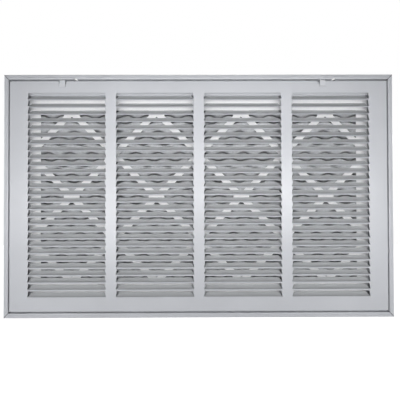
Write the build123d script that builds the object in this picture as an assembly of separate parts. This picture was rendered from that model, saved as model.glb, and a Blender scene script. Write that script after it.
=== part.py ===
from build123d import *

import math
import os

# Return air filter grille for a 24 x 14 in duct opening, in millimetres.
# The origin is the middle of the grille on the wall plane: X runs across, Z is up,
# the room is on the -Y side and the duct on the +Y side.
# Sections are drawn as (y, u), where u is the distance in from the frame's outer edge.

# Duct opening and frame
DUCT_W = 609.6
DUCT_H = 355.6
FLANGE_REACH = 33.35
FRAME_SHEET = 0.8
BORDER_W = 9.0
BORDER_DEPTH = 10.0
FACE_SLOPE = 0.5
BEAD_W = 2.8
BEAD_RISE = 0.8
EDGE_ROLL_R = 2.4
BEAD_R = 1.0
FLANGE_EDGE_GAP = 0.15
MITRE_GAP = 0.1
SCREW_U = 16.7
SCREW_FROM_END = 91.15
SCREW_HOLE_R = 2.4
KEY_LEG = 32.0
KEY_SHEET = 1.2
KEY_SET_BACK = 4.8

# Filter housing behind the flange
HOUSING_CLEAR = 1.0
HOUSING_FLANGE_W = 10.0
HOUSING_LIP_W = 8.0

# Filter
FILTER_GAP = 2.75
FILTER_LIP_GAP = 0.5
FILTER_T = 19.05
FILTER_SET_BACK = 9.0
CARD_T = 0.7
CARD_BORDER = 20.5
CARD_WALL_DEPTH = 9.4
LATTICE_PITCH = 152.4
LATTICE_STRIP_W = 10.7
LATTICE_PATCH_W = 28.0
LATTICE_PATCH_H = 13.0
PLEAT_PITCH = 19.05
PLEAT_SHEET = 2.4
PLEAT_CLEAR = 0.3

# Door: one pressed sheet with lanced louvres
DOOR_SHEET = 0.9
DOOR_GAP_SIDE = 1.7
DOOR_GAP_END = 2.8
DOOR_SET_BACK = 0.4
DOOR_PAN_DEPTH = 7.0
DOOR_EDGE_R = 1.3
MARGIN_SIDE = 25.0
MULLION_W = 16.8
SLOT_LENGTH = 135.6
LOUVRE_PITCH = 12.7
STRIP_H = 2.4
MARGIN_TOP = 21.1
MARGIN_BOTTOM = 24.4
BLADE_RISE = 6.8
BLADE_DEPTH = 7.8
BLADE_BOW = 0.5
BLADE_TAPER = 2.0
SLOT_TAPER = 1.4
SIDE_BUMP_H = 22.8
SIDE_BUMP_RISE = 1.1
SIDE_BUMP_FROM_BOTTOM = 105.0
SIDE_BUMP_DEPTH = 4.0
TOP_BUMP_R = 2.5
TOP_BUMP_RISE = 1.9
TOP_BUMP_DEPTH = 5.0
SEAT_CLEAR = 1.6

# Latches, each a slider with a finger tab that passes through a notch in the door's top edge
LATCH_FROM_SIDE = 102.85
LATCH_SPREAD = 22.2
LATCH_TRAVEL = 3.7
NOTCH_DEPTH = 8.2
NOTCH_PLAY = 0.1
TAB_W = 9.6
TAB_RISE = 1.5
TAB_DROP = 9.4
TAB_PROUD = 0.4
TAB_FLARE = 1.5
TAB_BEND_R = 1.2
SLIDER_SHEET = 1.0
SLIDER_H = 7.0
SLIDER_BELOW_EDGE = 4.9
SLIDER_PLAY = 0.15
SLIDER_LEFT = 24.0
HOOK_DEPTH = 3.35
HOOK_REACH = 1.55
HOOK_X = 32.15
KEEPER_SHEET = 0.8
KEEPER_TONGUE = 6.0
KEEPER_FOOT = 12.0
KEEPER_H = 6.0
KEEPER_CLEAR_X = 0.6
KEEPER_CLEAR_Y = 0.4
GUIDE_SHEET = 0.6
GUIDE_W = 7.0
GUIDE_FOOT = 2.6
GUIDE_PLAY = 0.2
GUIDE_X = 16.0

# Bottom hinges
HINGE_FROM_SIDE = 107.95
HINGE_CLEAR = 0.4
PIN_R = 1.25
PIN_CLEAR = 0.05
BRACKET_SHEET = 0.6
BRACKET_W = 14.0
BRACKET_FOOT = 7.0
LEAF_SHEET = 0.8
LEAF_KNUCKLE_W = 6.0
LEAF_H = 14.0
LEAF_RELIEF = 1.2
KNUCKLE_GAP = 0.3
HINGE_NOTCH_PLAY = 3.0

# How far a cutting solid runs past what it cuts, and a joined one into what it joins
OVERSHOOT = 0.2

# Worked out from the values above
OUTER_W = DUCT_W + 2 * FLANGE_REACH
OUTER_H = DUCT_H + 2 * FLANGE_REACH
HALF_W = OUTER_W / 2
HALF_H = OUTER_H / 2
HOUSING_U = FLANGE_REACH + HOUSING_CLEAR
FILTER_W = OUTER_W - 2 * (HOUSING_U + FRAME_SHEET) - FILTER_GAP
FILTER_H = OUTER_H - 2 * (HOUSING_U + FRAME_SHEET) - FILTER_GAP
FILTER_Z = -FILTER_GAP / 2
FILTER_BACK = FILTER_SET_BACK + FILTER_T
DOOR_W = OUTER_W - 2 * (BORDER_W + DOOR_GAP_SIDE)
DOOR_H = OUTER_H - 2 * (BORDER_W + DOOR_GAP_END)
DOOR_TOP = DOOR_H / 2
DOOR_FRONT = -BORDER_DEPTH + DOOR_SET_BACK
DOOR_INNER = DOOR_FRONT + DOOR_SHEET
SCREW_Z = HALF_H - SCREW_FROM_END
LATTICE_COLUMNS = round(FILTER_W / LATTICE_PITCH)
LATTICE_CELL = FILTER_W / LATTICE_COLUMNS
LATTICE_ROWS = int(FILTER_H / LATTICE_CELL)
COLUMN_PITCH = SLOT_LENGTH + MULLION_W
LOUVRE_COLUMNS = int((DOOR_W - 2 * MARGIN_SIDE + MULLION_W) / COLUMN_PITCH)
SLOT_H = LOUVRE_PITCH - STRIP_H
LOUVRE_ROWS = 1 + int((DOOR_H - MARGIN_TOP - MARGIN_BOTTOM - SLOT_H) / LOUVRE_PITCH + 0.01)
LATCH_X = DOOR_W / 2 - LATCH_FROM_SIDE
HINGE_X = DOOR_W / 2 - HINGE_FROM_SIDE
NOTCH_W = TAB_W + LATCH_TRAVEL + 2 * NOTCH_PLAY
KNUCKLE_BORE_R = PIN_R + PIN_CLEAR
LEAF_KNUCKLE_R = KNUCKLE_BORE_R + LEAF_SHEET
HINGE_Y = DOOR_INNER + LEAF_KNUCKLE_R
HINGE_Z = -DOOR_TOP + DOOR_SHEET + LEAF_KNUCKLE_R + HINGE_CLEAR
SLIDER_Y = DOOR_INNER + SLIDER_PLAY + SLIDER_SHEET / 2
SLIDER_Z = DOOR_TOP - SLIDER_BELOW_EDGE - SLIDER_H / 2
HOOK_Y = SLIDER_Y + HOOK_DEPTH


def turn_at(points, i):
    """Direction of travel into a corner of a line, and how far the line turns there."""
    (x, y), last = points[i], len(points) - 1
    into = points[i - 1] if i > 0 else None
    onto = points[i + 1] if i < last else None
    after = math.atan2(onto[1] - y, onto[0] - x) if onto else None
    before = math.atan2(y - into[1], x - into[0]) if into else after
    after = before if after is None else after
    return before, math.remainder(after - before, 2 * math.pi)


def bent_sheet(points, thickness, bend_radii=None, faceted=False):
    """Section of a folded sheet along its middle line.

    bend_radii gives the middle line's radius at each corner, where 0 is a sharp fold and half
    the thickness, the default, has a sharp inside. A faceted sheet has one flat across the
    outside of each bend instead of an arc.
    """
    half = thickness / 2
    corners = len(points) - 2
    radii = [0] + (bend_radii or [half] * corners) + [0]
    sides = {1: [], -1: []}
    for i, (x, y) in enumerate(points):
        before, turn = turn_at(points, i)
        reach = half / math.cos(turn / 2)
        square = before + turn / 2 + math.pi / 2
        for side, loop in sides.items():
            corner = (x + side * reach * math.cos(square), y + side * reach * math.sin(square))
            outside = turn * side < 0
            radius = radii[i] + half if outside and radii[i] else max(radii[i] - half, 0)
            if faceted and outside:
                back = (radii[i] + half) * math.tan(abs(turn) / 2)
                for angle, step in ((before, -back), (before + turn, back)):
                    point = (corner[0] + step * math.cos(angle), corner[1] + step * math.sin(angle))
                    loop.append((point, 0))
            else:
                loop.append((corner, 0 if faceted else radius))
    loop = sides[1] + sides[-1][::-1]
    line = FilletPolyline(*[at for at, _ in loop], radius=[r for _, r in loop], close=True)
    return make_face(line)


def along_x(section, length):
    """Solid of a (y, z) section, centred on the origin along X."""
    return extrude(Plane.YZ * section, length / 2, both=True)


def block(x, y, z):
    """Box between pairs of lowest and highest coordinates."""
    size = [high - low for low, high in (x, y, z)]
    middle = [(high + low) / 2 for low, high in (x, y, z)]
    return Pos(*middle) * Box(*size)


def mitred_member(section, run):
    """A (y, u) section run along the bottom edge, with its ends cut at 45 degrees."""
    reach = 2 * FLANGE_REACH
    half = run / 2 - MITRE_GAP
    outline = Polygon(
        (-half, 0), (half, 0), (half - reach, reach), (-half + reach, reach), align=None
    )
    wedge = extrude(Plane.XZ * outline, 2 * FILTER_BACK, both=True)
    return along_x(section, run) & wedge


def four_sides(section):
    """The same section along all four sides, as a dictionary of side name and solid."""
    across = mitred_member(section, OUTER_W)
    upright = mitred_member(section, OUTER_H)
    return {
        "bottom": Pos(0, 0, -HALF_H) * across,
        "top": Pos(0, 0, HALF_H) * Rot(0, 180, 0) * across,
        "left": Pos(-HALF_W, 0, 0) * Rot(0, 90, 0) * upright,
        "right": Pos(HALF_W, 0, 0) * Rot(0, -90, 0) * upright,
    }


# Frame

def frame_rails():
    """Roll-formed border with a rolled outer edge, an inner bead and a screw flange."""
    half = FRAME_SHEET / 2
    front = -BORDER_DEPTH + half
    low = front + BEAD_RISE
    bead_u = BORDER_W - half - BEAD_W
    line = [
        (0, half),
        (low + FACE_SLOPE, half),
        (low, bead_u - BEAD_RISE),
        (front, bead_u),
        (front, BORDER_W - half),
        (-half, BORDER_W - half),
        (-half, FLANGE_REACH - FLANGE_EDGE_GAP),
    ]
    radii = [EDGE_ROLL_R, 0, 0, BEAD_R, 0]
    rails = four_sides(bent_sheet(line, FRAME_SHEET, radii))
    for z in (-SCREW_Z, SCREW_Z):
        hole = Rot(90, 0, 0) * Cylinder(SCREW_HOLE_R, 2 * FRAME_SHEET + 2 * OVERSHOOT)
        rails["left"] -= Pos(-HALF_W + SCREW_U, 0, z) * hole
        rails["right"] -= Pos(HALF_W - SCREW_U, 0, z) * hole
    for x in (-LATCH_X, LATCH_X):
        seat = Rot(90, 0, 0) * Cylinder(TOP_BUMP_R + SEAT_CLEAR, 2 * BORDER_DEPTH - 2 * FRAME_SHEET)
        rails["top"] -= Pos(x + LATCH_SPREAD / 2, -BORDER_DEPTH, DOOR_TOP) * seat
    return {f"frame_rail_{side}": rail for side, rail in rails.items()}


def corner_keys():
    """Flat L-shaped keys that lie in the hollow of the border and tie the rails together."""
    inside = FRAME_SHEET
    width = BORDER_W - 2 * FRAME_SHEET
    y = (-BORDER_DEPTH + KEY_SET_BACK, -BORDER_DEPTH + KEY_SET_BACK + KEY_SHEET)
    leg_x = block((inside, inside + KEY_LEG), y, (inside, inside + width))
    leg_z = block((inside, inside + width), y, (inside, inside + KEY_LEG))
    key = leg_x + leg_z
    corner = Pos(-HALF_W, 0, -HALF_H) * key
    return {
        "corner_key_bottom_left": corner,
        "corner_key_bottom_right": corner.mirror(Plane.YZ),
        "corner_key_top_left": corner.mirror(Plane.XY),
        "corner_key_top_right": corner.mirror(Plane.YZ).mirror(Plane.XY),
    }


def housing_channels():
    """Z-shaped channels that box in the filter, with a front flange and a rear stop lip."""
    half = FRAME_SHEET / 2
    wall_u = HOUSING_U + half
    lip_y = FILTER_BACK + FILTER_LIP_GAP + half
    line = [
        (-FRAME_SHEET - half, HOUSING_U - HOUSING_FLANGE_W),
        (-FRAME_SHEET - half, wall_u),
        (lip_y, wall_u),
        (lip_y, wall_u + HOUSING_LIP_W),
    ]
    channels = four_sides(bent_sheet(line, FRAME_SHEET, faceted=True))
    return {f"filter_channel_{side}": channel for side, channel in channels.items()}


# Filter

def card_lattice():
    """Die-cut face of the filter's card frame: a border and a lattice of diamonds."""
    cell = LATTICE_CELL
    side = cell / math.sqrt(2)
    wide = Rot(0, 0, 45) * Rectangle(side + LATTICE_STRIP_W, side + LATTICE_STRIP_W)
    open_part = Rot(0, 0, 45) * Rectangle(side - LATTICE_STRIP_W, side - LATTICE_STRIP_W)
    sheet = Rectangle(FILTER_W, FILTER_H)
    field = Rectangle(FILTER_W - 2 * CARD_BORDER, FILTER_H - 2 * CARD_BORDER)
    strips = [at * (wide - open_part) for at in GridLocations(cell, cell, LATTICE_COLUMNS, LATTICE_ROWS)]
    nodes = GridLocations(cell, cell, LATTICE_COLUMNS, LATTICE_ROWS + 1)
    patches = [at * Rectangle(LATTICE_PATCH_W, LATTICE_PATCH_H) for at in nodes]
    openings = field - strips - patches
    return sheet - openings


def filter_card(front):
    """One half of the card frame: its lattice face and the walls that wrap the filter's edge."""
    face = extrude(Plane.XZ * card_lattice(), -CARD_T)
    wall = Rectangle(FILTER_W, FILTER_H) - Rectangle(FILTER_W - 2 * CARD_T, FILTER_H - 2 * CARD_T)
    half = face + extrude(Plane.XZ * wall, -CARD_WALL_DEPTH)
    if front:
        return Pos(0, FILTER_SET_BACK, FILTER_Z) * half
    return Pos(0, FILTER_BACK, FILTER_Z) * half.mirror(Plane.XZ)


def filter_media():
    """Pleated sheet between the two card faces, its folds running along X."""
    front = FILTER_SET_BACK + CARD_T + PLEAT_CLEAR
    back = FILTER_BACK - CARD_T - PLEAT_CLEAR - PLEAT_SHEET
    half_h = FILTER_H / 2 - CARD_T - PLEAT_CLEAR
    pleats = int(2 * half_h / PLEAT_PITCH)
    start = -pleats * PLEAT_PITCH / 2
    line = [(back, -half_h)]
    for i in range(pleats):
        low = start + i * PLEAT_PITCH
        line += [(back, low), (front, low + PLEAT_PITCH / 2)]
    line += [(back, -start), (back, half_h)]
    far_side = [(y + PLEAT_SHEET, z) for y, z in reversed(line)]
    section = make_face(Polyline(*line, *far_side, close=True))
    return Pos(0, 0, FILTER_Z) * along_x(section, FILTER_W - 2 * (CARD_T + PLEAT_CLEAR))


# Door

def slot_places():
    """Column middle and blade root height of every louvre."""
    first = -DOOR_TOP + MARGIN_BOTTOM
    columns = [(i - (LOUVRE_COLUMNS - 1) / 2) * COLUMN_PITCH for i in range(LOUVRE_COLUMNS)]
    return [(x, first + k * LOUVRE_PITCH) for x in columns for k in range(LOUVRE_ROWS)]


def corner_offset(depth, rise):
    """Height between a sharp fold's corner on the sheet's front and the one on its middle line."""
    return DOOR_SHEET / 2 * math.tan(math.atan2(depth, rise) / 2)


def louvre():
    """One louvre about its blade root: the opening to cut, and the blade to add."""
    middle = DOOR_FRONT + DOOR_SHEET / 2
    half = SLOT_LENGTH / 2
    opening = Polygon(
        (-half, 0), (half, 0), (half - SLOT_TAPER, SLOT_H), (-half + SLOT_TAPER, SLOT_H),
        align=None,
    )
    cut = extrude(Plane.XZ * opening, BORDER_DEPTH + DOOR_PAN_DEPTH, both=True)
    bow = BLADE_BOW / math.hypot(BLADE_DEPTH, BLADE_RISE)
    knee = (BLADE_DEPTH / 2 + bow * BLADE_RISE, BLADE_RISE / 2 - bow * BLADE_DEPTH)
    root = -corner_offset(*knee)
    low = 2 * root - OVERSHOOT
    blade_line = [
        (middle, low),
        (middle, root),
        (middle + knee[0], root + knee[1]),
        (middle + BLADE_DEPTH, root + BLADE_RISE),
    ]
    blade = along_x(bent_sheet(blade_line, DOOR_SHEET, [0, 0]), 2 * half)
    high = BLADE_RISE + DOOR_SHEET
    outline = Polygon(
        (-half, low), (half, low), (half, 0),
        (half - BLADE_TAPER, high), (-half + BLADE_TAPER, high), (-half, 0),
        align=None,
    )
    blade &= extrude(Plane.XZ * outline, BORDER_DEPTH + DOOR_PAN_DEPTH, both=True)
    return cut, blade


def door_pan():
    """Flat pan with rounded front edges and returns turned back on all four sides."""
    back = DOOR_FRONT + DOOR_PAN_DEPTH
    half_w = DOOR_W / 2
    pan = block((-half_w, half_w), (DOOR_FRONT, back), (-DOOR_TOP, DOOR_TOP))
    pan = fillet(pan.faces().sort_by(Axis.Y)[0].edges(), DOOR_EDGE_R)
    inside_w = half_w - DOOR_SHEET
    inside_h = DOOR_TOP - DOOR_SHEET
    return pan - block((-inside_w, inside_w), (DOOR_INNER, back + OVERSHOOT), (-inside_h, inside_h))


def side_bump():
    """Shallow swelling pressed out of a side return, with its hollow, on the right-hand side."""
    arc = ThreePointArc((0, -SIDE_BUMP_H / 2), (SIDE_BUMP_RISE, 0), (0, SIDE_BUMP_H / 2))
    swell = make_face(arc + Line(arc @ 1, arc @ 0))
    start = DOOR_FRONT + DOOR_EDGE_R
    swelling = Pos(0, start, 0) * extrude(Plane.XZ * swell, -SIDE_BUMP_DEPTH)
    return swelling, Pos(-DOOR_SHEET, 0, 0) * swelling


def top_bump():
    """Half-round swelling pressed out of the top return, with its hollow."""
    start = DOOR_FRONT + DOOR_EDGE_R
    across = Rot(-90, 0, 0) * Cylinder(TOP_BUMP_R, TOP_BUMP_DEPTH)
    hollow = Rot(-90, 0, 0) * Cylinder(TOP_BUMP_R - DOOR_SHEET, TOP_BUMP_DEPTH)
    place = Pos(0, start + TOP_BUMP_DEPTH / 2, TOP_BUMP_RISE - TOP_BUMP_R)
    return place * across, place * hollow


def door_panel():
    """The whole pressed door: pan, louvres, latch notches, bumps and hinge notches."""
    cut, blade = louvre()
    panel = door_pan()
    panel -= [Pos(x, 0, z) * cut for x, z in slot_places()]
    panel += [Pos(x, 0, z) * blade for x, z in slot_places()]
    back = DOOR_FRONT + DOOR_PAN_DEPTH
    for x in (-LATCH_X, LATCH_X):
        notch_x = x - LATCH_SPREAD / 2
        swelling, hollow = top_bump()
        at_bump = Pos(x + LATCH_SPREAD / 2, 0, DOOR_TOP)
        panel += at_bump * swelling
        panel -= at_bump * hollow
        across = (notch_x - NOTCH_W / 2, notch_x + NOTCH_W / 2)
        through = (DOOR_FRONT - OVERSHOOT, back + OVERSHOOT)
        panel -= block(across, through, (DOOR_TOP - NOTCH_DEPTH, DOOR_TOP + OVERSHOOT))
    bump_z = -DOOR_TOP + SIDE_BUMP_FROM_BOTTOM
    swelling, hollow = side_bump()
    for turn, x in ((0, DOOR_W / 2), (180, -DOOR_W / 2)):
        at_side = Pos(x, 0, bump_z)
        facing = swelling if turn == 0 else swelling.mirror(Plane.YZ)
        panel += at_side * facing
        facing = hollow if turn == 0 else hollow.mirror(Plane.YZ)
        panel -= at_side * facing
    reach = BRACKET_W / 2 + HINGE_NOTCH_PLAY
    for x in (-HINGE_X, HINGE_X):
        below = (-DOOR_TOP - OVERSHOOT, -DOOR_TOP + DOOR_SHEET + HINGE_CLEAR / 2)
        panel -= block((x - reach, x + reach), (DOOR_INNER, back + OVERSHOOT), below)
    return panel


# Latches

def latch_slider():
    """Slider at mid travel about its tab: bar, rear hook and folded finger tab."""
    half = SLIDER_SHEET / 2
    hook_x = HOOK_X + half
    line = [
        (-SLIDER_LEFT, SLIDER_Y),
        (hook_x, SLIDER_Y),
        (hook_x, HOOK_Y),
        (HOOK_X - HOOK_REACH, HOOK_Y),
    ]
    bar = extrude(bent_sheet(line, SLIDER_SHEET, faceted=True), SLIDER_H / 2, both=True)
    front = DOOR_FRONT - TAB_PROUD - half
    fold = DOOR_TOP + TAB_RISE
    bottom = DOOR_TOP - TAB_DROP
    tab_line = [
        (SLIDER_Y, SLIDER_Z),
        (SLIDER_Y, fold),
        (front, fold),
        (front, bottom),
        (front - TAB_FLARE, bottom - SLIDER_SHEET),
    ]
    tab_section = bent_sheet(tab_line, SLIDER_SHEET, [TAB_BEND_R, TAB_BEND_R, SLIDER_SHEET])
    tab = along_x(tab_section, TAB_W)
    return Pos(0, 0, SLIDER_Z) * bar + tab


def latch_keeper():
    """Bracket on the frame whose tongue the slider hooks behind, about the notch."""
    half = KEEPER_SHEET / 2
    tip = HOOK_X - HOOK_REACH - KEEPER_CLEAR_X
    leg = tip - KEEPER_TONGUE + half
    tongue_y = HOOK_Y - SLIDER_SHEET / 2 - KEEPER_CLEAR_Y - half
    foot_y = -FRAME_SHEET - half
    line = [(leg - KEEPER_FOOT, foot_y), (leg, foot_y), (leg, tongue_y), (tip, tongue_y)]
    section = bent_sheet(line, KEEPER_SHEET, faceted=True)
    return Pos(0, 0, SLIDER_Z) * extrude(section, KEEPER_H / 2, both=True)


def latch_guide():
    """Strap over the slider, its two feet on the back of the door's face."""
    half = GUIDE_SHEET / 2
    foot_y = DOOR_INNER + half
    crown_y = SLIDER_Y + SLIDER_SHEET / 2 + GUIDE_PLAY + half
    side = SLIDER_H / 2 + GUIDE_PLAY + half
    end = side + GUIDE_FOOT
    line = [
        (foot_y, -end), (foot_y, -side), (crown_y, -side),
        (crown_y, side), (foot_y, side), (foot_y, end),
    ]
    return Pos(0, 0, SLIDER_Z) * along_x(bent_sheet(line, GUIDE_SHEET, faceted=True), GUIDE_W)


def latches():
    """Both latches, the left one at mid travel and the right one at its right-hand stop."""
    nodes = {}
    for side, x, shift in (("left", -LATCH_X, 0), ("right", LATCH_X, LATCH_TRAVEL / 2)):
        notch_x = x - LATCH_SPREAD / 2
        nodes[f"latch_slider_{side}"] = Pos(notch_x + shift, 0, 0) * latch_slider()
        nodes[f"latch_keeper_{side}"] = Pos(notch_x, 0, 0) * latch_keeper()
        nodes[f"latch_guide_{side}_a"] = Pos(notch_x - GUIDE_X, 0, 0) * latch_guide()
        nodes[f"latch_guide_{side}_b"] = Pos(notch_x + GUIDE_X, 0, 0) * latch_guide()
    return nodes


# Hinges

def knuckle(outer_r, length):
    """Rolled eye about the hinge axis."""
    ring = Circle(outer_r) - Circle(KNUCKLE_BORE_R)
    return Pos(0, HINGE_Y, HINGE_Z) * along_x(ring, length)


def hinge_bracket():
    """Frame half of a hinge: a foot on the flange, a leg and the middle knuckle."""
    half = BRACKET_SHEET / 2
    leg_z = HINGE_Z + KNUCKLE_BORE_R + half
    foot_y = -FRAME_SHEET - half
    line = [(HINGE_Y, leg_z), (foot_y, leg_z), (foot_y, leg_z + BRACKET_FOOT)]
    leg = along_x(bent_sheet(line, BRACKET_SHEET, faceted=True), BRACKET_W)
    return leg + knuckle(KNUCKLE_BORE_R + BRACKET_SHEET, BRACKET_W)


def hinge_leaf():
    """Door half of a hinge: a plate on the back of the face with a knuckle at each end."""
    offset = BRACKET_W / 2 + KNUCKLE_GAP + LEAF_KNUCKLE_W / 2
    reach = offset + LEAF_KNUCKLE_W / 2
    y = (DOOR_INNER, DOOR_INNER + LEAF_SHEET)
    plate = block((-reach, reach), y, (HINGE_Z, HINGE_Z + LEAF_H))
    gap = reach - LEAF_KNUCKLE_W
    relief = HINGE_Z + LEAF_KNUCKLE_R + LEAF_RELIEF
    plate -= block((-gap, gap), (DOOR_INNER - OVERSHOOT, HINGE_Y), (HINGE_Z - OVERSHOOT, relief))
    ends = [Pos(x, 0, 0) * knuckle(LEAF_KNUCKLE_R, LEAF_KNUCKLE_W) for x in (-offset, offset)]
    bore = Pos(0, HINGE_Y, HINGE_Z) * Rot(0, 90, 0) * Cylinder(KNUCKLE_BORE_R, 2 * reach + 2 * OVERSHOOT)
    return plate + ends - bore


def hinge_pin():
    """Plain pin through all three knuckles."""
    length = BRACKET_W + 2 * (LEAF_KNUCKLE_W + KNUCKLE_GAP)
    return Pos(0, HINGE_Y, HINGE_Z) * along_x(Circle(PIN_R), length)


def hinges():
    """Both bottom hinges."""
    nodes = {}
    for side, x in (("left", -HINGE_X), ("right", HINGE_X)):
        nodes[f"hinge_bracket_{side}"] = Pos(x, 0, 0) * hinge_bracket()
        nodes[f"hinge_leaf_{side}"] = Pos(x, 0, 0) * hinge_leaf()
        nodes[f"hinge_pin_{side}"] = Pos(x, 0, 0) * hinge_pin()
    return nodes


parts = {
    **frame_rails(),
    **corner_keys(),
    **housing_channels(),
    "filter_card_front": filter_card(front=True),
    "filter_card_rear": filter_card(front=False),
    "filter_media": filter_media(),
    "door_panel": door_panel(),
    **latches(),
    **hinges(),
}
os.makedirs("parts", exist_ok=True)
for name, part in parts.items():
    export_step(part, f"parts/{name}.step")
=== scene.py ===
import math

import bmesh
import bpy
from mathutils import Euler, Matrix, Vector


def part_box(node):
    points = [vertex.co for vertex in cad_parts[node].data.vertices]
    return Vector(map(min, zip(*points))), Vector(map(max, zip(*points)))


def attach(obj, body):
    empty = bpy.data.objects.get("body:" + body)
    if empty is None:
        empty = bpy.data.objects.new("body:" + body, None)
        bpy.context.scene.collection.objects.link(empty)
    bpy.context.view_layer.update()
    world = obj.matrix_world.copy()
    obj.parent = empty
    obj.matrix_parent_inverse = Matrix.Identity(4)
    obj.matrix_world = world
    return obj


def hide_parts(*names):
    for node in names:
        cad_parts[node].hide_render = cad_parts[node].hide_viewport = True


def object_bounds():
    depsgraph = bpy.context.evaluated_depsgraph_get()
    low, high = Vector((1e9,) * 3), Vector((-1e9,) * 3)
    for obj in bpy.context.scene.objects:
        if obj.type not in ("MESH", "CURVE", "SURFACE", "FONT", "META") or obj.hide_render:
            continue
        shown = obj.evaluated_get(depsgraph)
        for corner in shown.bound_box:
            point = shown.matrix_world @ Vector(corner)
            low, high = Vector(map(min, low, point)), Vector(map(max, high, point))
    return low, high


# Return air filter grille: finishes, louvred door, pleated fleece, studio and camera, in metres.
# The frame's origin is the middle of the grille on the wall: X across, Z up, the room on -Y.

# Camera, fitted to the frame's corners and the louvre rows in the photograph
IMAGE_WIDTH = 400
FOCAL_PIXELS = 364.2
SENSOR_MM = 36.0
CAMERA_AT = (-0.0012, -0.6396, -0.0148)
CAMERA_TURN = (90.66, 0.16, -0.27)
NEAREST_SEEN = 0.01

# Louvred door sheet, at the places and sizes of the solid door but with rounder folds
SHEET = 0.0009
DOOR_FRONT_Y = -0.0096
COLUMNS = 4
COLUMN_PITCH = 0.1524
ROWS = 28
ROW_PITCH = 0.0127
FIRST_ROOT_Z = -0.17495
SLOT_HALF = 0.0678
SLOT_HEIGHT = 0.0103
SLOT_TAPER = 0.0019
STRIP_HEIGHT = 0.0024
WINDOW_DEPTH = 0.03
WELD_DISTANCE = 1e-6
DOOR_SMOOTH_ANGLE = 35

# Louvre vane: a line from its inner edge down to its lower edge, one step long for each tilt,
# with the tilts in degrees from upright and the lowest first. Its blade begins at the root point.
VANE_TOP = (0.0078, 0.0068)
VANE_STEP = 0.00159
VANE_TILTS = (15, 42, 62, 60, 50, 42, 37, 33)
VANE_EDGE_CUT = 0.0004
VANE_SHEET = 0.0006
ROOT_POINT = 2
ROOT_SET_BACK = SHEET / 8

# Ends of a vane: flat as far as FLAT_END, fully curved from ROUND_FROM, and drawn in by the taper
# at its inner edge, where END_SPREAD keeps the sections apart
BLADE_TAPER = 0.0046
FLAT_END = 0.0017
ROUND_FROM = 0.0029
END_SPREAD = 0.15

# Pleated fleece. A fold's points lie closer together beside its tight valleys, and the waves of
# its wander drift, in radians, from fold to fold and along them.
FOLD_PITCH = 0.009525
FOLD_DEPTH = 0.013
FOLD_ROUND = 0.5
FOLD_STEPS = (0.0, 0.03, 0.1, 0.22, 0.38, 0.5, 0.62, 0.78, 0.9, 0.97)
FOLD_WAVE = 0.0381
FOLD_SWING = 0.0034
DRIFT = 0.6
DRIFT_PER_FOLD = 2.1
DRIFT_PER_METRE = 9
FLEECE_SHEET = 0.002
FLEECE_STEPS_X = 128

# Colours from 0 to 255, where a pair is the darker and the lighter tone of one finish
FRAME_WHITE = ((199, 201, 206), (203, 205, 210))
# Painted shade along each mitre's gap
MITRE_GAP_SHADE = (70, 71, 75)
DOOR_WHITE = ((201, 203, 208), (205, 207, 212))
# Painted shade: behind the door's front on the vanes, in a band along each vane, and on the stops
VANE_SHADE_GREY = (184, 186, 188)
CREASE_SHADE_GREY = (140, 142, 145)
STOP_SHADE_GREY = (98, 99, 102)
LATCH_WHITE = ((206, 208, 213), (211, 213, 217))
ZINC = ((150, 152, 156), (178, 180, 184))
BRIGHT_STEEL = ((170, 171, 174), (200, 201, 204))
CARD_WHITE = ((240, 241, 243), (248, 248, 248))
FLEECE_GREY = ((190, 192, 196), (212, 214, 217))
SKY_WHITE = (250, 252, 255)

# Linear colours
# Painted shade of the fleece's folds, its darker and its lighter tone
FLEECE_FOLD_SHADE = ((0.02, 0.021, 0.023, 1.0), (0.2, 0.21, 0.22, 1.0))
FLOOR_GREY = (0.8, 0.8, 0.8, 1.0)
WHITE = (1.0, 1.0, 1.0, 1.0)

# Roughness of each surface, and the sheen of the fleece
PAINT_ROUGHNESS = 0.32
ZINC_ROUGHNESS = 0.42
BRIGHT_ROUGHNESS = 0.28
CARD_ROUGHNESS = 0.75
FLEECE_ROUGHNESS = 0.95
FLOOR_ROUGHNESS = 0.9
FLEECE_SHEEN = 0.3

# Painted shade, where the paint is darker: on each side of a mitre along its gap, behind the door's
# front, along the middle of each vane, and on the stops of the door's top edge
MITRE_SHADE_HALF = 0.0007
SHADE_FROM = 0.0008
SHADE_TO = 0.0022
CREASE_DEPTH = 0.0018
CREASE_HALF = 0.001
STOPS_FROM_Z = 0.1996

# Painted shade in the fleece's folds: its amount at some depths, from 0 at the crests to 1 at the
# other face, and how much less of it the back has
FOLD_SHADE_LEVELS = ((0.1, 0.0), (0.45, 1.0), (0.84, 1.0), (0.95, 0.05))
BACK_SHADE_CUT = 0.35

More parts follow.
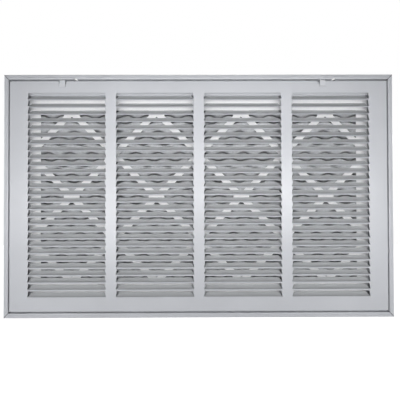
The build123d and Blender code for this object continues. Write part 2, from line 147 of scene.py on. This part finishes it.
# Studio
LAMPS = (
    # name, place, aimed at, size, power, spread in degrees
    ("near_left_lamp", (-0.152, -0.64, 0.0), (-0.15, 0, 0.14), 0.12, 0.2, 75),
    ("near_right_lamp", (0.152, -0.64, 0.0), (0.15, 0, 0.13), 0.12, 0.2, 75),
    ("far_left_lamp", (-0.457, -0.64, 0.0), (-0.36, 0, -0.16), 0.15, 0.68, 115),
    ("far_right_lamp", (0.457, -0.64, 0.0), (0.37, 0, -0.18), 0.15, 0.7, 115),
    ("left_shine_lamp", (-0.31, -0.64, -0.1), (-0.15, 0, 0), 0.12, 0.5, 180),
    ("right_shine_lamp", (0.31, -0.64, 0.015), (0.15, 0, 0), 0.12, 0.42, 180),
    ("high_lamp", (0.0, -0.7, 0.10), (0, 0, 0.14), 0.25, 0.1, 80),
    ("back_lamp", (0.3, 1.4, 0.5), (0, 0, 0), 0.8, 9.0, 180),
    ("left_side_lamp", (-1.5, 0.4, 0.3), (-0.3, 0.02, 0), 0.6, 6.0, 180),
    ("right_side_lamp", (1.5, 0.4, 0.2), (0.3, 0.02, 0), 0.6, 6.0, 180),
    ("top_lamp", (0, 0.5, 1.4), (0, 0.02, 0.2), 0.6, 5.0, 180),
    ("under_lamp", (0, 0.6, -0.7), (0, 0.02, -0.2), 0.4, 1.2, 180),
)
SKY_STRENGTH = 0.13
FLOOR_DROP = 0.55
FLOOR_SIZE = 12.0
FLOOR_GLOW = 0.93


# Nodes of a material

def srgb(colour):
    """Linear colour of a triple from 0 to 255."""
    def linear(value):
        value /= 255
        return value / 12.92 if value <= 0.04045 else ((value + 0.055) / 1.055) ** 2.4
    return (*map(linear, colour), 1.0)


def tones(pair):
    """The two linear colours of one finish."""
    return [srgb(tone) for tone in pair]


def new_material(name):
    """Material with its nodes and links, a shader and an output."""
    material = bpy.data.materials.new(name)
    material.use_nodes = True
    return material, material.node_tree.nodes, material.node_tree.links


def noise(nodes, links, waves, detail, stretch=(1, 1, 1)):
    """Noise over the object's own coordinates, in waves per metre."""
    place = nodes.new("ShaderNodeTexCoord")
    mapping = nodes.new("ShaderNodeMapping")
    mapping.inputs["Scale"].default_value = stretch
    texture = nodes.new("ShaderNodeTexNoise")
    texture.inputs["Scale"].default_value = waves
    texture.inputs["Detail"].default_value = detail
    links.new(place.outputs["Object"], mapping.inputs["Vector"])
    links.new(mapping.outputs["Vector"], texture.inputs["Vector"])
    return texture.outputs["Fac"]


def ramp(nodes, links, source, colours, low, high):
    """Blend of two linear colours as the source goes from low to high."""
    blend = nodes.new("ShaderNodeValToRGB")
    for stop, place_along, colour in zip(blend.color_ramp.elements, (low, high), colours):
        stop.position = place_along
        stop.color = colour
    links.new(source, blend.inputs["Fac"])
    return blend.outputs["Color"]


def bump(nodes, links, source, shader, strength, height):
    """Height from the source on the shader's normal."""
    lift = nodes.new("ShaderNodeBump")
    lift.inputs["Strength"].default_value = strength
    lift.inputs["Distance"].default_value = height
    links.new(source, lift.inputs["Height"])
    links.new(lift.outputs["Normal"], shader.inputs["Normal"])


def places(nodes, links, kind="Object"):
    """The X, Y and Z sockets of the object's own coordinates, or of its surface's normal."""
    coordinates = nodes.new("ShaderNodeTexCoord")
    split = nodes.new("ShaderNodeSeparateXYZ")
    links.new(coordinates.outputs[kind], split.inputs["Vector"])
    return split.outputs


def math_of(nodes, links, operation, first, second=None):
    """Result of an operation on a socket, alone or with a second socket or number."""
    step = nodes.new("ShaderNodeMath")
    step.operation = operation
    links.new(first, step.inputs[0])
    if isinstance(second, float):
        step.inputs[1].default_value = second
    elif second is not None:
        links.new(second, step.inputs[1])
    return step.outputs["Value"]


def distance(nodes, links, first, second):
    """Size of the difference between a socket and a second socket or number."""
    return math_of(nodes, links, "ABSOLUTE", math_of(nodes, links, "SUBTRACT", first, second))


def fade(nodes, links, source, start, end):
    """0 to 1 as the source goes from start to end."""
    spread = nodes.new("ShaderNodeMapRange")
    spread.inputs["From Min"].default_value = start
    spread.inputs["From Max"].default_value = end
    links.new(source, spread.inputs["Value"])
    return spread.outputs["Result"]


def blend_of(nodes, links, factor, under, over):
    """Colour that goes from one socket to a second socket or linear colour by a factor."""
    mix = nodes.new("ShaderNodeMix")
    mix.data_type = "RGBA"
    links.new(factor, mix.inputs["Factor"])
    links.new(under, mix.inputs["A"])
    if isinstance(over, tuple):
        mix.inputs["B"].default_value = over
    else:
        links.new(over, mix.inputs["B"])
    return mix.outputs["Result"]


def tint_where(nodes, links, factor, colour):
    """Lays a second colour over the shader's own by a factor."""
    base = nodes["Principled BSDF"].inputs["Base Color"]
    links.new(blend_of(nodes, links, factor, base.links[0].from_socket, srgb(colour)), base)


# Materials

def powder_coat(name, whites):
    """White baked paint: faint mottling and an orange-peel surface."""
    material, nodes, links = new_material(name)
    shader = nodes["Principled BSDF"]
    shader.inputs["Roughness"].default_value = PAINT_ROUGHNESS
    mottle = noise(nodes, links, waves=14.0, detail=4.0)
    tone = ramp(nodes, links, mottle, tones(whites), low=0.35, high=0.65)
    links.new(tone, shader.inputs["Base Color"])
    peel = noise(nodes, links, waves=900.0, detail=2.0)
    bump(nodes, links, peel, shader, strength=0.12, height=0.0003)
    return material


def frame_coat(mitre_offset):
    """Powder coat of the frame, with a dark line of painted shade along each mitre's gap where |X| -
    |Z| is the offset.
    """
    material = powder_coat("frame_paint", FRAME_WHITE)
    nodes, links = material.node_tree.nodes, material.node_tree.links
    place = places(nodes, links)
    across = math_of(nodes, links, "ABSOLUTE", place["X"])
    up = math_of(nodes, links, "ABSOLUTE", place["Z"])
    off = distance(nodes, links, math_of(nodes, links, "SUBTRACT", across, up), mitre_offset)
    # Painted shade: a thin dark line on each side of the mitre, where its gap lies
    tint_where(nodes, links, math_of(nodes, links, "LESS_THAN", off, MITRE_SHADE_HALF), MITRE_GAP_SHADE)
    return material


def door_coat():
    """Powder coat of the door, with painted shade on its vanes, more along their middle, and on the
    stops.
    """
    material = powder_coat("door_paint", DOOR_WHITE)
    nodes, links = material.node_tree.nodes, material.node_tree.links
    place = places(nodes, links)
    # Painted shade on all that lies behind the door's front, mostly the recessed vanes
    behind = fade(nodes, links, place["Y"], DOOR_FRONT_Y + SHADE_FROM, DOOR_FRONT_Y + SHADE_TO)
    tint_where(nodes, links, behind, VANE_SHADE_GREY)
    # Painted shade in a band at the crease depth behind the door's front
    off = distance(nodes, links, place["Y"], DOOR_FRONT_Y + CREASE_DEPTH)
    tint_where(nodes, links, fade(nodes, links, off, CREASE_HALF, 0.0), CREASE_SHADE_GREY)
    # Painted shade on the stops that rise above the door's top edge into the gap
    tint_where(nodes, links, math_of(nodes, links, "GREATER_THAN", place["Z"], STOPS_FROM_Z), STOP_SHADE_GREY)
    return material


def plated(name, greys, roughness):
    """Plated steel with a faint drawn grain along X."""
    material, nodes, links = new_material(name)
    shader = nodes["Principled BSDF"]
    shader.inputs["Metallic"].default_value = 1.0
    shader.inputs["Roughness"].default_value = roughness
    grain = noise(nodes, links, waves=600.0, detail=3.0, stretch=(0.08, 1, 1))
    tone = ramp(nodes, links, grain, tones(greys), low=0.3, high=0.7)
    links.new(tone, shader.inputs["Base Color"])
    bump(nodes, links, grain, shader, strength=0.15, height=0.0001)
    return material


def card_board():
    """White paperboard with short fibres."""
    material, nodes, links = new_material("white_card")
    shader = nodes["Principled BSDF"]
    shader.inputs["Roughness"].default_value = CARD_ROUGHNESS
    fibres = noise(nodes, links, waves=700.0, detail=5.0, stretch=(0.35, 1, 1))
    tone = ramp(nodes, links, fibres, tones(CARD_WHITE), low=0.3, high=0.7)
    links.new(tone, shader.inputs["Base Color"])
    bump(nodes, links, fibres, shader, strength=0.2, height=0.0002)
    return material


def fold_shade(nodes, links, crest, back):
    """Amount of painted shade on the fleece, which lies in the folds of both faces and less on the
    back.
    """
    profile = nodes.new("ShaderNodeValToRGB")
    for place_along, level in FOLD_SHADE_LEVELS:
        stop = profile.color_ramp.elements.new(place_along)
        stop.color = (level, level, level, 1)
    faces_back = math_of(nodes, links, "GREATER_THAN", places(nodes, links, "Normal")["Y"], 0.0)
    depth = fade(nodes, links, places(nodes, links)["Y"], crest, back)
    links.new(distance(nodes, links, depth, faces_back), profile.inputs["Fac"])
    # Back faces get less of the painted shade
    back_cut = math_of(nodes, links, "MULTIPLY", faces_back, BACK_SHADE_CUT)
    return math_of(nodes, links, "SUBTRACT", profile.outputs["Color"], back_cut)


def fleece_cloth(crest, back):
    """Grey synthetic fleece, matted, with painted shade down in its folds."""
    material, nodes, links = new_material("filter_fleece")
    shader = nodes["Principled BSDF"]
    shader.inputs["Roughness"].default_value = FLEECE_ROUGHNESS
    shader.inputs["Sheen Weight"].default_value = FLEECE_SHEEN
    matting = noise(nodes, links, waves=260.0, detail=6.0)
    own_grey = ramp(nodes, links, matting, tones(FLEECE_GREY), low=0.3, high=0.7)
    # Painted shade for the folds, near black in some broad patches and lighter in others
    patches = noise(nodes, links, waves=24.0, detail=2.0)
    shaded_grey = ramp(nodes, links, patches, FLEECE_FOLD_SHADE, low=0.4, high=0.6)
    amount = fold_shade(nodes, links, crest, back)
    links.new(blend_of(nodes, links, amount, own_grey, shaded_grey), shader.inputs["Base Color"])
    fuzz = noise(nodes, links, waves=1400.0, detail=4.0)
    bump(nodes, links, fuzz, shader, strength=0.5, height=0.0004)
    return material


# Meshes

def solid_object(name, mesh, smooth_angle=40):
    """Object in the scene from a bmesh, smooth up to an angle."""
    bmesh.ops.recalc_face_normals(mesh, faces=mesh.faces)
    data = bpy.data.meshes.new(name)
    mesh.to_mesh(data)
    mesh.free()
    data.shade_smooth()
    data.set_sharp_from_angle(angle=math.radians(smooth_angle))
    made = bpy.data.objects.new(name, data)
    even = made.modifiers.new("even_flats", "WEIGHTED_NORMAL")
    even.keep_sharp = True
    bpy.context.scene.collection.objects.link(made)
    return made


def skin(mesh, rings):
    """Faces along a sheet and over its ends; each ring goes up its front and down its back."""
    count = len(rings[0])
    for left, right in zip(rings, rings[1:]):
        for j in range(count):
            k = (j + 1) % count
            mesh.faces.new((left[j], right[j], right[k], left[k]))
    for ring in (rings[0], rings[-1]):
        for j in range(count // 2 - 1):
            mesh.faces.new((ring[j], ring[j + 1], ring[-j - 2], ring[-j - 1]))


# Door

def column_x(column):
    """Middle of a louvre column."""
    return (column - (COLUMNS - 1) / 2) * COLUMN_PITCH


def vane_line(flat_strip, flat_root):
    """Middle line (y, z, inset of its ends) of one vane about its blade root, lower edge first."""
    y, z = VANE_TOP
    points = [(y, z)]
    for tilt in reversed(VANE_TILTS):
        y -= VANE_STEP * math.sin(math.radians(tilt))
        z -= VANE_STEP * math.cos(math.radians(tilt))
        points.insert(0, (y, z))
    points[0] = (y, z + VANE_EDGE_CUT)
    if flat_strip:
        points[0], points[1] = (0.0, -STRIP_HEIGHT), (0.0, -STRIP_HEIGHT / 2)
    if flat_root:
        points[ROOT_POINT] = (ROOT_SET_BACK, 0.0)
    steps = len(points) - 1 - ROOT_POINT
    return [(y, z, BLADE_TAPER * max(i - ROOT_POINT, 0) / steps) for i, (y, z) in enumerate(points)]


def sheet_sides(line, sheet):
    """Front and back outline of a middle line, half a sheet to each side."""
    fronts, backs = [], []
    for i, (y, z, inset) in enumerate(line):
        before, after = line[max(i - 1, 0)], line[min(i + 1, len(line) - 1)]
        run, rise = after[0] - before[0], after[1] - before[1]
        half = sheet / 2 / math.hypot(run, rise)
        fronts.append((y - rise * half, z + run * half, inset))
        backs.append((y + rise * half, z - run * half, inset))
    return fronts + backs[::-1]


def vane_ring(mesh, x, z, outline, reach, side):
    """Points of a vane's section, a reach in from the end of its slot on one side."""
    middle_y = DOOR_FRONT_Y + SHEET / 2
    ring = []
    for y, up, inset in outline:
        far = SLOT_HALF - max(reach, inset + END_SPREAD * reach)
        ring.append(mesh.verts.new((x + side * far, middle_y + y, z + up)))
    return ring


def add_vane(mesh, x, z, on_margin):
    """One louvre vane, flat where it meets the sheet at its ends and curved between."""
    flat = sheet_sides(vane_line(True, True), SHEET)
    curved = sheet_sides(vane_line(on_margin, False), VANE_SHEET)
    sections = ((flat, 0.0), (flat, FLAT_END), (curved, ROUND_FROM))
    left = [vane_ring(mesh, x, z, *section, -1) for section in sections]
    right = [vane_ring(mesh, x, z, *section, 1) for section in sections]
    skin(mesh, left + right[::-1])


def add_tooth(mesh, x, z, side):
    """Wedge of sheet that narrows an opening towards its top, on one side."""
    corners = ((SLOT_HALF, 0), (SLOT_HALF, SLOT_HEIGHT), (SLOT_HALF - SLOT_TAPER, SLOT_HEIGHT))
    layers = [
        [mesh.verts.new((x + side * across, y, z + up)) for across, up in corners]
        for y in (DOOR_FRONT_Y, DOOR_FRONT_Y + SHEET)
    ]
    for layer in layers:
        mesh.faces.new(layer)
    for j in range(len(corners)):
        k = (j + 1) % len(corners)
        mesh.faces.new((layers[0][j], layers[0][k], layers[1][k], layers[1][j]))


def column_windows():
    """One block for each louvre column, deeper than the door."""
    blocks = bmesh.new()
    height = ROWS * ROW_PITCH
    middle_z = FIRST_ROOT_Z - STRIP_HEIGHT + height / 2
    size = Matrix.Diagonal((2 * SLOT_HALF, WINDOW_DEPTH, height, 1))
    for column in range(COLUMNS):
        place = Matrix.Translation((column_x(column), DOOR_FRONT_Y, middle_z))
        bmesh.ops.create_cube(blocks, size=1, matrix=place @ size)
    return solid_object("door_windows", blocks)


def door_with_windows():
    """The solid door's mesh with each louvre column cut out of it."""
    mesh = bmesh.new()
    mesh.from_mesh(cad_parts["door_panel"].data)
    bmesh.ops.remove_doubles(mesh, verts=mesh.verts, dist=WELD_DISTANCE)
    pan = solid_object("door_pan", mesh)
    windows = column_windows()
    cut = pan.modifiers.new("windows", "BOOLEAN")
    cut.operation = "DIFFERENCE"
    cut.solver = "MANIFOLD"
    cut.object = windows
    made = bmesh.new()
    made.from_mesh(pan.evaluated_get(bpy.context.evaluated_depsgraph_get()).data)
    bpy.data.objects.remove(pan)
    bpy.data.objects.remove(windows)
    return made


def louvred_door():
    """Door sheet with curved louvre vanes and tapered openings."""
    mesh = door_with_windows()
    for column in range(COLUMNS):
        x = column_x(column)
        for row in range(ROWS):
            z = FIRST_ROOT_Z + row * ROW_PITCH
            add_vane(mesh, x, z, on_margin=row == 0)
            add_tooth(mesh, x, z, side=-1)
            add_tooth(mesh, x, z, side=1)
    return solid_object("louvred_door", mesh, DOOR_SMOOTH_ANGLE)


# Fleece

def valley_heights(x, height):
    """Heights of the valleys at x; neighbours wander in opposite senses and the ends stay put."""
    count = round(height / FOLD_PITCH)
    heights = []
    for i in range(count + 1):
        swing = 0 if i in (0, count) else FOLD_SWING * (-1) ** i
        drift = DRIFT * math.sin(DRIFT_PER_FOLD * i + DRIFT_PER_METRE * x)
        wander = swing * math.cos(2 * math.pi * x / FOLD_WAVE + drift)
        heights.append(-height / 2 + height * i / count + wander)
    return heights


def fold_line(x, low, high):
    """Line (y, z) of the fleece's front at x, from its lowest valley to its highest."""
    valley_y = high.y - FLEECE_SHEET
    middle_z = (low.z + high.z) / 2
    valleys = valley_heights(x, high.z - low.z)
    line = []
    for lower, upper in zip(valleys, valleys[1:]):
        for t in FOLD_STEPS:
            y = valley_y - FOLD_DEPTH * math.sin(math.pi * t) ** FOLD_ROUND
            line.append((y, middle_z + lower + (upper - lower) * t))
    return line + [(valley_y, middle_z + valleys[-1])]


def pleated_fleece(low, high):
    """Closed pleated sheet whose folds wander from side to side, between the corners of its solid."""
    mesh = bmesh.new()
    rings = []
    for i in range(FLEECE_STEPS_X + 1):
        x = low.x + (high.x - low.x) * i / FLEECE_STEPS_X
        front = fold_line(x, low, high)
        back = [(y + FLEECE_SHEET, z) for y, z in reversed(front)]
        rings.append([mesh.verts.new((x, y, z)) for y, z in front + back])
    skin(mesh, rings)
    return solid_object("pleated_fleece", mesh)


# Studio

def seen_by_eye(nodes, links):
    """1 for camera, mirror and glass rays, else 0."""
    ray = nodes.new("ShaderNodeLightPath").outputs
    direct = math_of(nodes, links, "MAXIMUM", ray["Is Camera Ray"], ray["Is Glossy Ray"])
    return math_of(nodes, links, "MAXIMUM", direct, ray["Is Transmission Ray"])


def make_sky():
    """Even grey light all round, seen as white."""
    world = bpy.data.worlds.new("studio")
    world.use_nodes = True
    nodes, links = world.node_tree.nodes, world.node_tree.links
    lit = nodes["Background"]
    lit.inputs["Color"].default_value = srgb(SKY_WHITE)
    lit.inputs["Strength"].default_value = SKY_STRENGTH
    seen = nodes.new("ShaderNodeBackground")
    seen.inputs["Color"].default_value = WHITE
    mix = nodes.new("ShaderNodeMixShader")
    links.new(seen_by_eye(nodes, links), mix.inputs["Fac"])
    links.new(lit.outputs["Background"], mix.inputs[1])
    links.new(seen.outputs["Background"], mix.inputs[2])
    links.new(mix.outputs["Shader"], nodes["World Output"].inputs["Surface"])
    bpy.context.scene.world = world


def floor_white():
    """Matt floor that takes a shadow, with a glow that only the eye sees and that makes it white."""
    material, nodes, links = new_material("floor")
    shader = nodes["Principled BSDF"]
    shader.inputs["Base Color"].default_value = FLOOR_GREY
    shader.inputs["Roughness"].default_value = FLOOR_ROUGHNESS
    glow = nodes.new("ShaderNodeEmission")
    glow.inputs["Color"].default_value = WHITE
    level = math_of(nodes, links, "MULTIPLY", seen_by_eye(nodes, links), FLOOR_GLOW)
    links.new(level, glow.inputs["Strength"])
    total = nodes.new("ShaderNodeAddShader")
    links.new(shader.outputs["BSDF"], total.inputs[0])
    links.new(glow.outputs["Emission"], total.inputs[1])
    links.new(total.outputs["Shader"], nodes["Material Output"].inputs["Surface"])
    return material


def make_floor(lowest):
    """Wide level floor below the grille."""
    mesh = bmesh.new()
    bmesh.ops.create_grid(mesh, x_segments=1, y_segments=1, size=FLOOR_SIZE / 2)
    floor = solid_object("floor", mesh)
    floor.location.z = lowest - FLOOR_DROP
    floor.data.materials.append(floor_white())


def make_lamp(name, place, target, size, power, spread):
    """Round soft lamp that faces the target."""
    data = bpy.data.lights.new(name, "AREA")
    data.shape = "DISK"
    data.size = size
    data.energy = power
    data.spread = math.radians(spread)
    lamp = bpy.data.objects.new(name, data)
    lamp.location = place
    lamp.rotation_mode = "QUATERNION"
    lamp.rotation_quaternion = (Vector(target) - Vector(place)).to_track_quat("-Z", "Y")
    bpy.context.scene.collection.objects.link(lamp)


def make_camera():
    """Camera at the photograph's place."""
    data = bpy.data.cameras.new("camera")
    data.sensor_width = SENSOR_MM
    data.lens = SENSOR_MM * FOCAL_PIXELS / IMAGE_WIDTH
    data.clip_start = NEAREST_SEEN
    camera = bpy.data.objects.new("camera", data)
    camera.location = CAMERA_AT
    camera.rotation_euler = Euler([math.radians(angle) for angle in CAMERA_TURN], "XYZ")
    bpy.context.scene.collection.objects.link(camera)
    bpy.context.scene.camera = camera


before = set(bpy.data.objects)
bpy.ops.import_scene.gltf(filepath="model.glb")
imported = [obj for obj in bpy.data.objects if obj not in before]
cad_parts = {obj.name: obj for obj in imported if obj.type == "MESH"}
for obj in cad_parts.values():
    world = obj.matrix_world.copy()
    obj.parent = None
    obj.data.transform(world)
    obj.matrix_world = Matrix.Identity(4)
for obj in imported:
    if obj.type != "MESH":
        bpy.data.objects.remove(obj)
cad_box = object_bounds()
lowest_corner, highest_corner = cad_box
media_low, media_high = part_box("filter_media")

# A mitre runs from its corner, so along it the distance across less the distance up stays the same
frame_paint = frame_coat(highest_corner.x - highest_corner.z)
door_paint = door_coat()
latch_paint = powder_coat("latch_paint", LATCH_WHITE)
zinc = plated("plated_steel", ZINC, ZINC_ROUGHNESS)
bright = plated("bright_steel", BRIGHT_STEEL, BRIGHT_ROUGHNESS)
fleece_grey = fleece_cloth(media_high.y - FLEECE_SHEET - FOLD_DEPTH, media_high.y)
finishes = {
    "frame_rail": frame_paint,
    "filter_channel": frame_paint,
    "corner_key": frame_paint,
    "latch_keeper": frame_paint,
    "latch_slider": latch_paint,
    "latch_guide": zinc,
    "hinge_bracket": zinc,
    "hinge_leaf": zinc,
    "hinge_pin": bright,
    "filter_card": card_board(),
    "filter_media": fleece_grey,
    "door_panel": door_paint,
}
for node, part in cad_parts.items():
    finish = next(finishes[start] for start in finishes if node.startswith(start))
    part.data.materials.clear()
    part.data.materials.append(finish)

door = louvred_door()
door.data.materials.append(door_paint)
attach(door, "door")
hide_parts("door_panel")

fleece = pleated_fleece(media_low, media_high)
fleece.data.materials.append(fleece_grey)
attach(fleece, "frame")
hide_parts("filter_media")

make_sky()
make_floor(lowest_corner.z)
for lamp_values in LAMPS:
    make_lamp(*lamp_values)
make_camera()
bpy.context.scene.view_settings.view_transform = "Standard"
